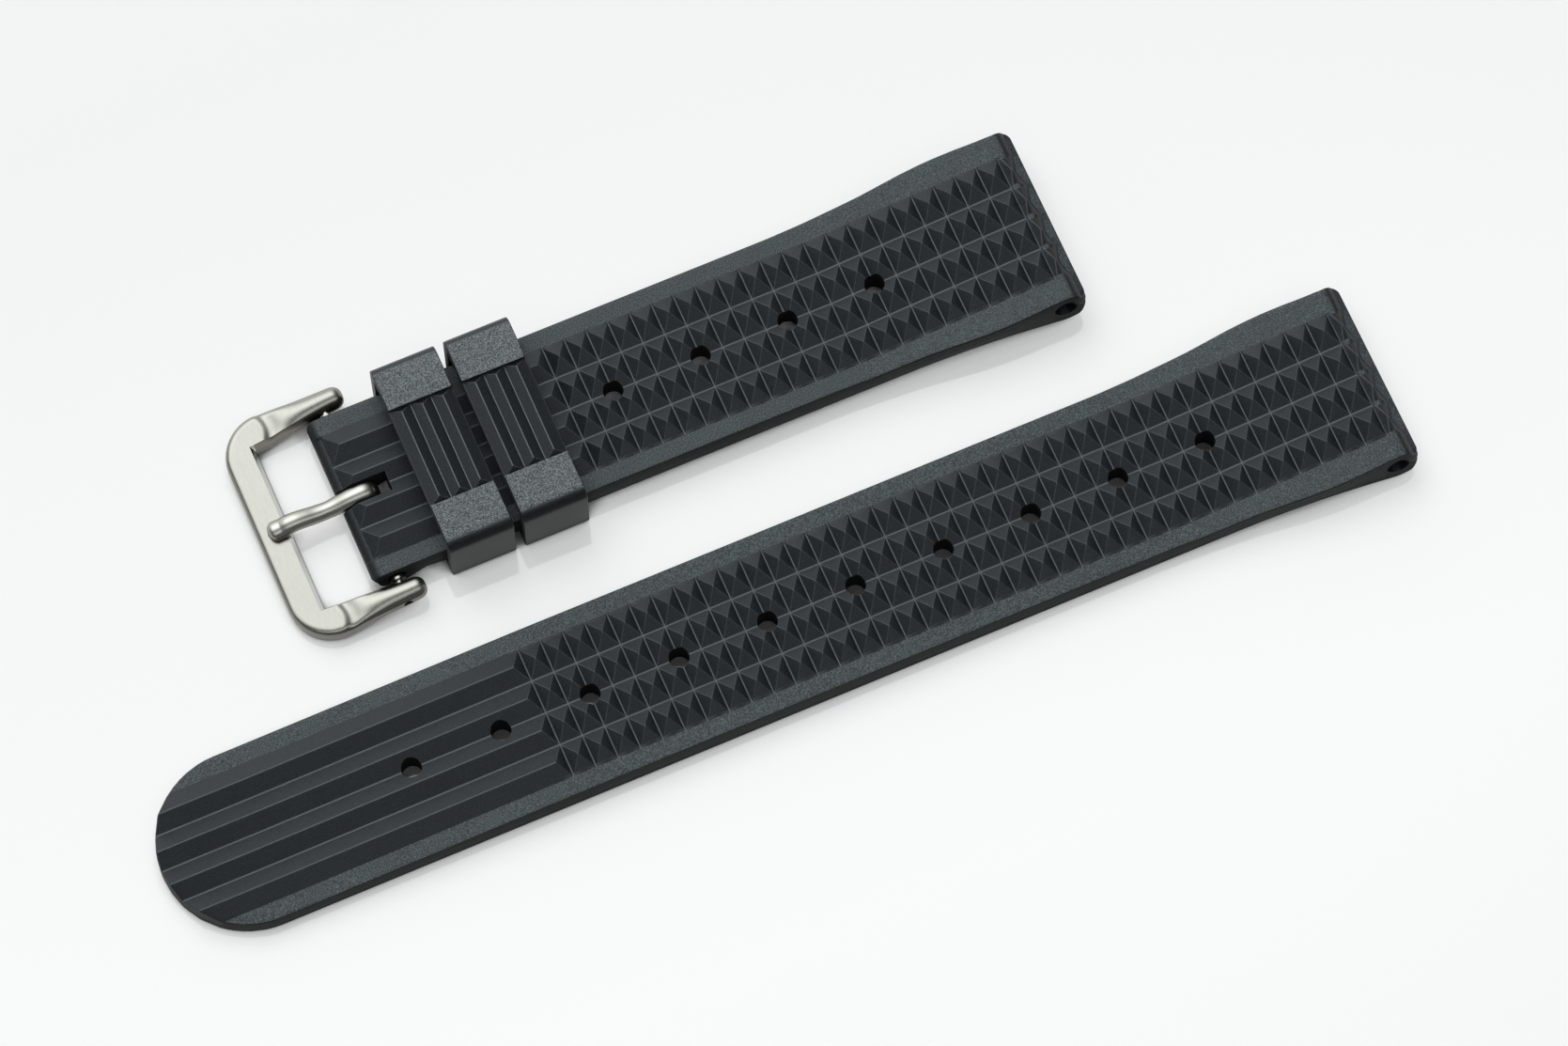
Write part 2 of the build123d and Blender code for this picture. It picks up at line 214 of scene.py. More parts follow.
lip_level, lip_fall, lip_width, lip_scallop = 3.65, 0.2, 1.0, 0.45
drop_start, drop_early, drop_late = 0.5, (0.35, 1.6), (0.65, 2.6)
crown_bulge, crown_steepness = 0.72, 1.06
edge_round, lip_round, low_edge = 0.2, 0.12, 0.9
side_lines = np.array([7.12, 7.5, 7.93, 8.3])
side_offsets = np.array([edge_round, 0.12, 0.055, 0.015, 0])
bore_radius, bore_height, hole_radius, first_hole, hole_step = 1.15, 2.6, 1.025, 7, 4
seam_stand, seam_half, seam_share = 0.05, 0.07, 0.2
relief_half, facet_floor = 7.2, 1.5
hole_below, hole_above, bore_reach = 0.004, 0.009, 0.015
# How far the upper edge swells out along the lug end, and how much of that the seam follows.
swell_x = [-24, -20, -16.5, -14, -11.5, -9.5, -7.5, -5.5, -3.5, -1.5, 0.5, 2.3]
swell_width = [0, 0.12, 0.22, 0.3, 0.44, 0.53, 0.53, 0.42, 0.2, -0.1, -0.36, -0.4]
seam_height = ([-24, -14, -1, 1.2, 2.5], [0.5, 0.6, 0.75, 0.75, 0.5])
seam_swell = ([-24, -14, -4, 2.3], [0.5, 0.8, 0.8, 0.4])


def half_width_at(x, high=False):
    """Half the strap's width at x from the bore: straight, flaring, then the round corner. The top's
    outer edge swells early in the flare and draws in at the nose, so the sides are hollow."""
    flare_start, corner = lug_nose - lug_flare, lug_nose - lug_corner
    run, rise = corner - flare_start, lug_half - half_width
    radius = (run ** 2 + rise ** 2) / (2 * rise)
    reach = np.clip(x - flare_start, 0, run)
    width = half_width + radius - np.sqrt(radius ** 2 - reach ** 2)
    if high:
        width = width + np.interp(x, swell_x, swell_width)
    past = np.clip(x - corner, 0, lug_corner)
    return width - lug_corner + np.sqrt(lug_corner ** 2 - past ** 2)


def cell_lines():
    """Shares of one cell where its valley, the border's level and its crest begin and end."""
    slope = 0.5 - valley_share / 2 - crest_share / 2
    near = [0, valley_share / 2, valley_share / 2 + slope * border_share, 0.5 - crest_share / 2]
    return near + [0.5] + [1 - share for share in near[:0:-1]]


def lines_across(x, high=False):
    """Places of the long lines across the strap, from side to side, at x from the bore."""
    half = half_width_at(x, high)
    first = side_lines[0]
    spread = first + (side_lines - first) * (half - edge_round - first) / (half_width - edge_round - first)
    side = np.concatenate([spread, half - side_offsets])
    inner = [-band + (r + share) * row for r in range(rows) for share in cell_lines()] + [band]
    return np.concatenate([-side[::-1], inner, side])


def top_level(x, tail_x):
    """Height of the smooth top face: thin, thicker towards the lug end, thinner at the tail."""
    ramp = np.clip((x - thick_start) / thick_run, 0, 1)
    ramp = ramp + thick_swell * np.sin(np.pi * ramp)
    height = thin + (thick - thin) * ramp
    if tail_x is not None:
        height = height - (thin - tail_thick) * np.clip((tail_x + tail_start - x) / tail_run, 0, 1)
    return height


def rounded(distance, radius):
    """How far an edge's rounding lowers the face at a distance from the edge."""
    inside = np.clip(radius - distance, 0, radius)
    return radius - np.sqrt(radius ** 2 - inside ** 2)


def bulge_at(off_crest):
    """How far the last pyramids reach past the bore, round as seen from above."""
    return crown_bulge * (1 - off_crest ** 2.5)


# The nose follows these lines: each pyramid of the last column ends in a bulge, and the lip in front
# of it is scalloped to match.
middle_y = lines_across(plain_x)
count = len(middle_y)
cell = np.clip((middle_y + band) / row, 0, rows)
off_crest = np.abs(1 - 2 * (cell - np.floor(cell)))
on_band = np.abs(middle_y) < band - 1e-6
bulge = np.where(on_band, bulge_at(off_crest), 0)
lip_start = lug_nose - lip_width + lip_scallop * np.where(on_band, off_crest ** 1.6, 1)


def lines_along(columns, end_x, buckle_end):
    """Lines across the strap from its end to its nose: the x of every point, and the last of the pattern."""
    shares = cell_lines()
    start = -columns * column
    hip = [start - column * share for share in shares[4:0:-1]]
    pattern = [start + (c + share) * column for c in range(columns) for share in shares] + [0.0]
    if buckle_end:
        lines = [np.full(count, end_x + d) for d in end_steps]
    else:
        radii = half_width - side_offsets[::-1]
        lines = [end_x + half_width - np.sqrt(np.clip(r ** 2 - middle_y ** 2, 0, None)) for r in radii]
        last = lines[-1]
        lines += [last + (end_x + half_width + tail_blend - last) * share for share in (0.25, 0.5, 0.75, 1)]
    first = lines[-1][0]
    steps = max(2, round((hip[0] - first) / straight_step))
    straight = [first + (hip[0] - first) * k / steps for k in range(1, steps)]
    lines += [np.full(count, x) for x in straight + hip + pattern]
    pattern_end = len(lines) - 1
    lines += [bulge * share for share in (0.5, 1)]
    lines += [bulge + (lip_start - bulge) * share for share in (0.12, 0.24, 0.36, 0.48, 0.6, 0.72, 0.84, 0.93, 1)]
    lip_end = lug_nose - lip_round
    lines += [lip_start + (lip_end - lip_start) * share for share in (0.35, 0.6, 0.8, 0.92, 1)]
    lines += [np.full(count, lug_nose - d) for d in (0.07, 0.03, 0.01, 0)]
    return np.array(lines), pattern_end


def nose_top(x, top):
    """The top face with its nose: the last pyramids' fronts, the drop behind them and the lip."""
    face = valley_depth + crest_height
    slope = face / (column / 2 * (1 - valley_share - crest_share))
    foot = valley_share / 2 * column
    rise = np.clip((x - foot) * slope, 0, face) - valley_depth
    crown = np.clip((bulge - foot) * slope, 0, face)
    crown = np.minimum(crown, np.clip((1 - off_crest) * face * crown_steepness, 0, face)) - valley_depth
    crown = np.where(on_band, crown, 0)
    top = top + np.where((x > 1e-6) & (x <= bulge + 1e-9) & on_band, np.minimum(rise, crown + 1e-9), 0)
    sink = np.clip((x - drop_start) / (lip_start - drop_start), 0, 1)
    fall = sum(share * sink ** power for share, power in (drop_early, drop_late))
    smooth_drop = thick - (thick - lip_level) * fall
    past_ridge = np.clip((x - bulge) / (lip_start - bulge), 0, 1)
    ridge_drop = np.where(on_band, thick + crown - (thick + crown - lip_level) * past_ridge, 0)
    top = np.where((x > bulge + 1e-9) & (x > 1e-6), np.maximum(smooth_drop, ridge_drop), top)
    on_lip = np.clip((x - lip_start) / (lug_nose - lip_start), 0, 1)
    return np.where(x >= lip_start, lip_level - lip_fall * on_lip, top)


def underside(x, end_x, buckle_end):
    """Height of the underside: round below the nose, and round the bar's sleeve at the buckle end."""
    in_nose = np.clip(x - lug_nose + nose_radius, 0, nose_share * nose_radius)
    bottom = nose_radius - np.sqrt(nose_radius ** 2 - in_nose ** 2)
    if buckle_end:
        from_bar = x - end_x - bar_inset
        sleeve = bar_height - np.sqrt(np.clip(sleeve_radius ** 2 - from_bar ** 2, 0, None))
        neck = np.interp(x - end_x, *neck_profile)
        bottom = bottom + np.where(np.abs(from_bar) < sleeve_radius, np.minimum(sleeve, neck), neck)
    return bottom


def seam_rings(plan, plan_low, high, low):
    """Three rings round the strap's side, the middle one standing out as the mould's parting line."""
    tangent = np.roll(plan, -1, 0) - np.roll(plan, 1, 0)
    length = np.hypot(tangent[:, 0], tangent[:, 1])[:, None] + 1e-9
    outward = np.stack([tangent[:, 1], -tangent[:, 0]], -1) / length
    for k in np.flatnonzero(length < 1e-6):
        outward[k] = outward[k - 1]
    height = low + (high - low) * np.interp(plan[:, 0], *seam_height)
    plan = plan_low + (plan - plan_low) * np.interp(plan[:, 0], *seam_swell)[:, None]
    most = (high - low) * seam_share
    width = np.minimum(seam_half, most)
    return [
        np.column_stack([plan + outward * np.minimum(stand, most)[:, None], height + shift * width])
        for shift, stand in ((1, 0), (0, seam_stand), (-1, 0))
    ]


def strap_faces(index, x, y, start, end_x, buckle_end):
    """Faces of the top and the underside. The pattern's quads are split along the pyramids' edges."""
    size, middle = index.size, index.shape[1] // 2
    faces = []
    for i in range(index.shape[0] - 1):
        centre_x = (x[i, middle] + x[i + 1, middle]) / 2
        on_hip = buckle_end and hip_start < centre_x - end_x < hip_start + hip_length
        for j in range(index.shape[1] - 1):
            a, b, c, d = index[i, j], index[i + 1, j], index[i + 1, j + 1], index[i, j + 1]
            centre_y = (y[i, j] + y[i, j + 1]) / 2
            if (start - column / 2 < centre_x < 0 or on_hip) and abs(centre_y) < band:
                rising_x = on_hip or (centre_x / column) % 1 < 0.5
                rising_y = ((centre_y + band) / row) % 1 < 0.5
                faces += [(a, b, c), (a, c, d)] if rising_x == rising_y else [(a, b, d), (b, c, d)]
            else:
                faces.append((a, b, c, d))
            faces.append((a + size, d + size, c + size, b + size))
    return faces


def cleaned(mesh, merge=0, slivers=0, turn=True):
    """Merges double points, dissolves slivers and turns the faces outwards, each where it is asked for."""
    shape = bmesh.new()
    shape.from_mesh(mesh)
    if merge:
        bmesh.ops.remove_doubles(shape, verts=shape.verts, dist=merge)
    if slivers:
        bmesh.ops.dissolve_degenerate(shape, edges=shape.edges, dist=slivers)
    if turn:
        bmesh.ops.recalc_face_normals(shape, faces=shape.faces)
    shape.to_mesh(mesh)
    shape.free()


def new_mesh(name, points, faces, relief=None, facet=None):
    """Mesh with the marks that the relief and the rubber read."""
    mesh = bpy.data.meshes.new(name)
    mesh.from_pydata([tuple(p) for p in points], [], [tuple(int(v) for v in f) for f in faces])
    for key, domain, values in (("relief", "POINT", relief), ("facet", "FACE", facet)):
        if values is not None:
            mesh.attributes.new(key, "FLOAT", domain).data.foreach_set("value", np.asarray(values, float))
    return mesh


def strap_blank(name, columns, end_x, buckle_end):
    """Closed strap without its pattern; the points that the pattern raises carry 'relief'."""
    x, pattern_end = lines_along(columns, end_x, buckle_end)
    at = [line[count // 2] if i > pattern_end else line[0] for i, line in enumerate(x)]
    y = np.array([lines_across(place) for place in at])
    y_high = np.array([lines_across(place, True) for place in at])
    outline = half_width_at(x)
    if buckle_end:
        past = np.clip(end_x + end_corner - x, 0, end_corner)
        side = half_width - end_corner + np.sqrt(end_corner ** 2 - past ** 2)
        y = np.where(np.abs(y) > side_lines[-1], np.sign(y) * (np.abs(y) - half_width + side), y)
        end_distance = np.full_like(x, 1.0)
        outline = outline - half_width + side
    else:
        y[: len(side_offsets) + 4] = middle_y
        tip = np.hypot(x - end_x - half_width, y)
        end_distance = np.where(x < end_x + half_width, half_width - tip, 1.0)
    y_high = np.where(x < plain_x, y, y_high)

    edge = rounded(np.clip(np.minimum(outline - np.abs(y), end_distance), 0, None), edge_round)
    lip_edge = rounded(np.clip(lug_nose - x, 0, None), lip_round)
    top = nose_top(x, top_level(x, None if buckle_end else end_x)) - np.maximum(edge, lip_edge)
    if buckle_end:
        from_end = x - end_x
        share = 1 - np.clip(from_end, 0, end_run) / end_run
        end_top = end_low + end_rise * np.sqrt(np.clip(1 - share ** 2, 0, 1))
        top = np.where(from_end < end_run, np.minimum(top, end_top - edge), top)
    bottom = underside(x, end_x, buckle_end) + edge * low_edge

    size = x.size
    index = np.arange(size).reshape(x.shape)
    upper = np.stack([x, y_high, top], -1).reshape(-1, 3)
    lower = np.stack([x, y, bottom], -1).reshape(-1, 3)
    faces = strap_faces(index, x, y, -columns * column, end_x, buckle_end)
    ring = np.concatenate([index[:, 0], index[-1, 1:], index[-2::-1, -1], index[0, -2:0:-1]])
    seams = seam_rings(upper[ring, :2], lower[ring, :2], upper[ring, 2], lower[ring, 2])
    around = np.arange(len(ring))
    levels = [ring] + [2 * size + k * len(ring) + around for k in range(len(seams))] + [ring + size]
    for above, below in zip(levels, levels[1:]):
        faces += zip(below, np.roll(below, -1), np.roll(above, -1), above)
    points = np.concatenate([upper, lower] + seams)

    relief = np.zeros(len(points))
    relief[:size] = ((x <= 1e-6) & (np.abs(y) <= relief_half)).reshape(-1)
    middles = np.array([points[list(face)].mean(0) for face in faces])
    off = np.abs(1 - 2 * (((middles[:, 1] + band) / row) % 1))
    facet = (np.abs(middles[:, 1]) < band) & (middles[:, 2] > facet_floor)
    facet &= (middles[:, 0] < 0) | (middles[:, 0] < bulge_at(off))
    facet &= middles[:, 0] > end_x + (hip_start if buckle_end else 0)
    mesh = new_mesh(name, points * mm, faces, relief, facet)
    cleaned(mesh, merge=7e-6, slivers=1e-6, turn=False)
    return mesh


def tent_share(place, valley, crest):
    """0 on a cell's valley, 1 on its crest, straight between them."""
    off_middle = n.math("ABSOLUTE", n.math("MULTIPLY_ADD", n.math("FRACT", place), 2.0, -1.0))
    tent = n.math("SUBTRACT", 1.0, off_middle)
    width = n.math("SUBTRACT", n.math("SUBTRACT", 1.0, valley), crest)
    return n.math("DIVIDE", n.math("SUBTRACT", tent, valley), width, clamp=True)


relief_group = bpy.data.node_groups.new("moulded_relief", "GeometryNodeTree")
n = Nodes(relief_group)
n.sockets(
    [
        ("Geometry", "Geometry", None), ("Material", "Material", None), ("Place", "Vector", None),
        ("Along", "Vector", (1, 0, 0)), ("Across", "Vector", (0, 1, 0)),
        ("Column Pitch", "Float", column * mm), ("Columns", "Float", 0.0),
        ("Row Pitch", "Float", row * mm), ("Rows", "Float", rows),
        ("Height", "Float", crest_height * mm), ("Valley Depth", "Float", valley_depth * mm),
        ("Valley Share", "Float", valley_share), ("Crest Share", "Float", crest_share),
        ("Low Hip", "Float", -1.0), ("High Hip", "Float", 1.0), ("Hip Length", "Float", 0.001),
        ("Column Line", "Float", 0.95), ("Row Line", "Float", 0.8), ("Crest Line", "Float", 0.6),
        ("Edge Fade", "Float", 12.0),
    ],
    [("Geometry", "Geometry")],
)
given = n.inputs
where = n.add("GeometryNodeInputPosition").outputs[0]
along = n.vector("DOT_PRODUCT", where, given["Along"], output="Value")
beside = n.vector("DOT_PRODUCT", where, given["Across"], output="Value")
column_place = n.math("MULTIPLY", n.math("DIVIDE", along, given["Column Pitch"]), -1.0)
row_place = n.math("ADD", n.math("DIVIDE", beside, given["Row Pitch"]), n.math("MULTIPLY", given["Rows"], 0.5))

# Along the strap: pyramids, then level ridges past the last column, and slopes at the pattern's ends.
column_tent = tent_share(column_place, given["Valley Share"], given["Crest Share"])
past_columns = n.math("GREATER_THAN", column_place, n.math("ADD", given["Columns"], 0.499))
column_tent = n.math("MAXIMUM", column_tent, past_columns)
column_valley = n.math("LESS_THAN", column_tent, 0.001)
for hip in (n.math("SUBTRACT", along, given["Low Hip"]), n.math("SUBTRACT", given["High Hip"], along)):
    column_tent = n.math("MINIMUM", column_tent, n.math("DIVIDE", hip, given["Hip Length"], clamp=True))

# Across the strap: the rows, whose outer slopes come down to the border and have no valley.
row_tent = tent_share(row_place, given["Valley Share"], given["Crest Share"])
swing = n.math("ADD", given["Height"], given["Valley Depth"])
column_rise, row_rise = (
    n.math("SUBTRACT", n.math("MULTIPLY", tent, swing), given["Valley Depth"]) for tent in (column_tent, row_tent)
)
first_half = n.math("LESS_THAN", row_place, 0.5)
last_half = n.math("GREATER_THAN", row_place, n.math("SUBTRACT", given["Rows"], 0.5))
outer_half = n.math("MAXIMUM", first_half, last_half)
inner_half = n.math("SUBTRACT", 1.0, outer_half)
edge_gap = n.math("MINIMUM", row_place, n.math("SUBTRACT", given["Rows"], row_place))
slope_width = n.math("SUBTRACT", 1.0, given["Crest Share"])
edge_share = n.math("DIVIDE", n.math("MULTIPLY", edge_gap, 2.0), slope_width, clamp=True)
edge_rise = n.math("MULTIPLY", n.math("MULTIPLY", edge_share, given["Height"]), outer_half)
row_rise = n.math("ADD", edge_rise, n.math("MULTIPLY", row_rise, inner_half))
fade = n.math("MULTIPLY", edge_gap, given["Edge Fade"], clamp=True)
inside_low = n.math("GREATER_THAN", row_place, -0.0001)
inside_high = n.math("LESS_THAN", row_place, n.math("ADD", given["Rows"], 0.0001))
inside = n.math("MULTIPLY", inside_low, inside_high)
lowest = n.math("MINIMUM", column_rise, row_rise)
sunk = n.math("MULTIPLY", n.math("MINIMUM", lowest, 0.0), fade)
raised = n.math("MULTIPLY", n.math("ADD", n.math("MAXIMUM", lowest, 0.0), sunk), inside)
marked = n.add("GeometryNodeInputNamedAttribute", {"Name": "relief"}, data_type="FLOAT").outputs["Attribute"]

# The lines that carry a painted highlight: the valleys between columns and rows, and the crests.
row_valley = n.math("MULTIPLY", n.math("LESS_THAN", row_tent, 0.001), inner_half)
row_valley = n.math("MULTIPLY", row_valley, n.math("GREATER_THAN", column_tent, 0.0))
crest = n.math("GREATER_THAN", n.math("MINIMUM", row_tent, column_tent), 0.999)
line = 0.0
for share, level in ((column_valley, "Column Line"), (row_valley, "Row Line"), (crest, "Crest Line")):
    line = n.math("MAXIMUM", line, n.math("MULTIPLY", share, given[level]))
line = n.math("MULTIPLY", line, n.math("MULTIPLY", inside, n.math("GREATER_THAN", marked, 0.7)))
values = {"Geometry": given["Geometry"], "Name": "line", "Value": line}
shape = n.add("GeometryNodeStoreNamedAttribute", values, data_type="FLOAT", domain="FACE").outputs[0]
lift = n.add("ShaderNodeCombineXYZ", {"Z": n.math("MULTIPLY", raised, marked)}).outputs[0]
for kind, values in (
    ("GeometryNodeSetPosition", {"Offset": lift}),
    ("GeometryNodeTransform", {"Translation": given["Place"]}),
    ("GeometryNodeRealizeInstances", {}),
    ("GeometryNodeSetMaterial", {"Material": given["Material"]}),
):
    shape = n.add(kind, {"Geometry": shape, **values}).outputs[0]
n.put(shape, n.outputs["Geometry"])


def carved(piece, cutters):
    """Cuts the cutters out of a piece, and gives back its plain mesh."""
    for cutter in cutters:
        cut = piece.modifiers.new("cut", "BOOLEAN")
        cut.operation = "DIFFERENCE"
        cut.solver = "EXACT"
        cut.object = cutter
    graph = bpy.context.evaluated_depsgraph_get()
    made = bpy.data.meshes.new_from_object(piece.evaluated_get(graph), depsgraph=graph)
    for spent in [piece, *cutters]:
        bpy.data.objects.remove(spent)
    return made


def smoothed(mesh, angle):
    mesh.polygons.foreach_set("use_smooth", [True] * len(mesh.polygons))
    mesh.set_sharp_from_angle(angle=math.radians(angle))


def grow(name, mesh, values, cutters=()):
    """Runs the relief tree on a blank, cuts the holes, and returns the finished plain mesh piece."""
    blank = new_object(name + "_blank", mesh)
    step = blank.modifiers.new("relief", "NODES")
    step.node_group = relief_group
    items = relief_group.interface.items_tree
    names = {item.name: item.identifier for item in items if item.in_out == "INPUT"}
    for key, value in values.items():
        step[names[key]] = value
    made = carved(blank, cutters)
    made.name = name
    made.materials.clear()
    made.materials.append(values["Material"])
    smoothed(made, 14)
    return new_object(name, made)


def rod(name, start, end, radius, sides=48):
    """Round cutter from one point to another, in metres."""
    start, end = Vector(start), Vector(end)
    shape = bmesh.new()
    turn = (end - start).to_track_quat("Z", "Y").to_matrix().to_4x4()
    bmesh.ops.create_cone(
        shape, cap_ends=True, segments=sides, radius1=radius, radius2=radius, depth=(end - start).length,
        matrix=Matrix.Translation((start + end) / 2) @ turn,
    )
    mesh = bpy.data.meshes.new(name)
    shape.to_mesh(mesh)
    shape.free()
    return new_object(name, mesh)


def cross_rod(name, place, radius, reach):
    """Round cutter that runs across the strap at a place, as far as the reach to either side."""
    x, y, z = place
    return rod(name, (x, y - reach, z), (x, y + reach, z), radius)


def strap_cutter(name, place, holes):
    """The adjustment holes down the middle and the bore for the watch's bar, as one cutter."""
    x0, y0, z0 = place
    rods = []
    for hole in range(holes):
        x = x0 - (first_hole + hole_step * hole) * column * mm
        rods.append(rod("hole", (x, y0, z0 - hole_below), (x, y0, z0 + hole_above), hole_radius * mm))
    rods.append(cross_rod("bore", (x0, y0, z0 + bore_height * mm), bore_radius * mm, bore_reach))
    shape = bmesh.new()
    for piece in rods:
        shape.from_mesh(piece.data)
        bpy.data.objects.remove(piece)
    mesh = bpy.data.meshes.new(name)
    shape.to_mesh(mesh)
    shape.free()
    return new_object(name, mesh)


# The rubber itself is black. The plain faces are spark-eroded in the mould, so they are grey and speckled,
# and the facets of the pattern are smoother and darker. The valleys, crests and sharp edges between them
# carry a painted highlight; the rounded edges, the walls and the hollows a painted shade.
plain_tone, facet_tone, line_tone = (0.048, 0.058, 0.061, 1), (0.006, 0.009, 0.0125, 1), (0.085, 0.098, 0.102, 1)
wall_tone, bend_tone, edge_highlight_tone = (0.007, 0.0075, 0.0085, 1), (0.004, 0.005, 0.006, 1), (0.1, 0.113, 0.118, 1)
plain_rough, facet_rough, bend_gloss, grain_rough, wall_rough = 0.52, 0.38, -0.2, 0.4, 0.3
plain_grain, facet_grain, cloud_swing, least_level, grain_smoothing = 8.0, 7.0, 0.35, 0.15, -0.2
deep_reach, deep_span, deep_shade = 0.0025, (0.36, 0.66, 0, 1), (0.92, 0.08)
bend_span, wall_span, edge_highlight_span = (0.9, 0.985, 1, 0), (0.2, 0.35, 1, 0), (0.975, 0.89, 0, 1)
skin_group = bpy.data.node_groups.new("rubber_skin", "ShaderNodeTree")
n = Nodes(skin_group)
n.sockets(
    [
        ("Plain Tone", "Color", plain_tone), ("Facet Tone", "Color", facet_tone), ("Line Tone", "Color", line_tone),
        ("Wall Tone", "Color", wall_tone), ("Bend Tone", "Color", bend_tone),
        ("Grain Size", "Float", 0.00012), ("Wall Roughness", "Float", wall_rough),
    ],
    [("Color", "Color"), ("Roughness", "Float"), ("Height", "Float"), ("Facet", "Float")],
)
place = n.place()
fine = n.noise(Vector=place, Scale=n.math("DIVIDE", 1.0, n.inputs["Grain Size"]), Detail=2.0, Roughness=0.7)
broad = n.noise(Vector=place, Scale=260.0, Detail=3.0)
speckle = n.math("SUBTRACT", fine, 0.5)
facet, line = (n.add("ShaderNodeAttribute", attribute_name=key).outputs["Fac"] for key in ("facet", "line"))
level = n.math("MULTIPLY_ADD", speckle, n.span(facet, 0, 1, plain_grain, facet_grain), 1.0)
level = n.math("MULTIPLY_ADD", n.math("SUBTRACT", broad, 0.5), cloud_swing, level)
level = n.math("MAXIMUM", level, least_level)
tone = n.mix(facet, n.inputs["Plain Tone"], n.inputs["Facet Tone"])
# Painted highlight: the valleys and crests that the relief marks take the lighter line tone.
tone = n.mix(line, n.vector("SCALE", tone, Scale=level), n.inputs["Line Tone"])

# How upright the face stands tells the rounded edges and the walls from the top.
# Both are painted shade: the rounded edges and the walls take darker tones.
tilt = n.math("ABSOLUTE", n.add("ShaderNodeSeparateXYZ", {0: n.place("Normal")}).outputs["Z"])
bend = n.math("MULTIPLY", n.span(tilt, *bend_span), n.math("SUBTRACT", 1.0, facet))
wall = n.span(tilt, *wall_span)
tone = n.mix(wall, n.mix(bend, tone, n.inputs["Bend Tone"]), n.inputs["Wall Tone"])
# Painted shade: where little sky is open, in holes, slots and the gap between the keepers, the colour is darkened and
# the roughness raised.
hollow_shade = n.add("ShaderNodeAmbientOcclusion", {"Distance": deep_reach}, samples=6).outputs["AO"]
hollow_shade = n.span(hollow_shade, *deep_span)
n.put(n.vector("SCALE", tone, Scale=n.math("MULTIPLY_ADD", hollow_shade, *deep_shade)), n.outputs["Color"])
n.put(n.math("MULTIPLY", facet, n.math("SUBTRACT", 1.0, line)), n.outputs["Facet"])
rough = n.span(facet, 0, 1, plain_rough, facet_rough)
rough = n.math("MULTIPLY_ADD", n.math("MULTIPLY", bend, n.math("SUBTRACT", 1.0, wall)), bend_gloss, rough)
rough = n.math("MULTIPLY_ADD", speckle, grain_rough, rough)
rough = n.math("MULTIPLY_ADD", wall, n.inputs["Wall Roughness"], rough)
rough = n.math("ADD", n.math("MULTIPLY", rough, hollow_shade), n.math("SUBTRACT", 1.0, hollow_shade))
n.put(rough, n.outputs["Roughness"])
smoother = n.math("MULTIPLY_ADD", n.math("MAXIMUM", facet, bend), grain_smoothing, 1.0)
n.put(n.math("MULTIPLY", fine, smoother), n.outputs["Height"])


def rubber(name, **values):
    """Rubber material with its skin's own values. Sharp edges of the facets carry a painted highlight, a lighter
    tone.
    """
    material, nodes, shader = new_material(name)
    values = {key.replace("_", " ").title(): value for key, value in values.items()}
    skin = nodes.add("ShaderNodeGroup", values, node_tree=skin_group).outputs
    edges = nodes.add("ShaderNodeBevel", {"Radius": 0.00013}, samples=4).outputs["Normal"]
    grain = {"Strength": 0.9, "Distance": 0.00005, "Height": skin["Height"], "Normal": edges}
    nodes.put(nodes.add("ShaderNodeBump", grain).outputs["Normal"], shader["Normal"])
    flat = nodes.add("ShaderNodeNewGeometry").outputs["True Normal"]
    # Painted highlight: where the bevelled normal turns from the face's own, the facets' sharp edges are lightened.
    ridge = nodes.span(nodes.vector("DOT_PRODUCT", edges, flat, output="Value"), *edge_highlight_span)
    edge_highlight = nodes.mix(nodes.math("MULTIPLY", ridge, skin["Facet"]), skin["Color"], edge_highlight_tone)
    nodes.put(edge_highlight, shader["Base Color"])
    nodes.put(skin["Roughness"], shader["Roughness"])
    return material


strap_rubber = rubber("strap_rubber")
long_blank = strap_blank("long_strap_blank", long_columns, lug_nose - long_length, False)
long_strap = grow(
    "long_strap_rubber", long_blank,
    {"Material": strap_rubber, "Place": long_place, "Columns": float(long_columns), "Low Hip": -1.0},
    [strap_cutter("long_cutter", long_place, long_holes)],
)
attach(long_strap, "long_strap")
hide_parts("long_strap")

# Short strap: the same moulding, with a round sleeve for the spring bar at its square end, and a
# slot there for the tongue. The keepers hold it a little above the table.
short_length, short_columns, short_holes = 75.3, 21, 4
short_place = (0.0386, 0.0127, 0.0009)
short_end = lug_nose - short_length
hip_start, hip_length = 0.9, 1.3
hip_end = hip_start + hip_length
end_steps = (0, 0.04, 0.12, 0.25, 0.42, 0.62, hip_start, hip_start + hip_length * border_share, hip_end, 3.4, 5.5)
end_corner, end_low, end_rise, end_run = 0.6, 1.7, 1.0, 1.5
bar_inset, bar_height, sleeve_radius, bar_bore_radius = 2.4, 1.1, 1.9, 0.95
neck_profile = ([0, 0.5, 5.5, 6.5, 7.7], [1.7, 1.1, 0.55, 0.55, 0])
slot_size, slot_shift = (8, 2.1, 12), 1.1
short_blank = strap_blank("short_strap_blank", short_columns, short_end, True)
bar_place = (short_place[0] + (short_end + bar_inset) * mm, short_place[1], short_place[2] + bar_height * mm)
slot_shape = bmesh.new()
slot_place = (bar_place[0] - slot_shift * mm, bar_place[1], bar_place[2])
slot_scale = Matrix.Diagonal((*(side * mm for side in slot_size), 1))
bmesh.ops.create_cube(slot_shape, size=1.0, matrix=Matrix.Translation(slot_place) @ slot_scale)
slot_mesh = bpy.data.meshes.new("slot")
slot_shape.to_mesh(slot_mesh)
slot_shape.free()
bar_bore = cross_rod("bar_bore", bar_place, bar_bore_radius * mm, 0.012)
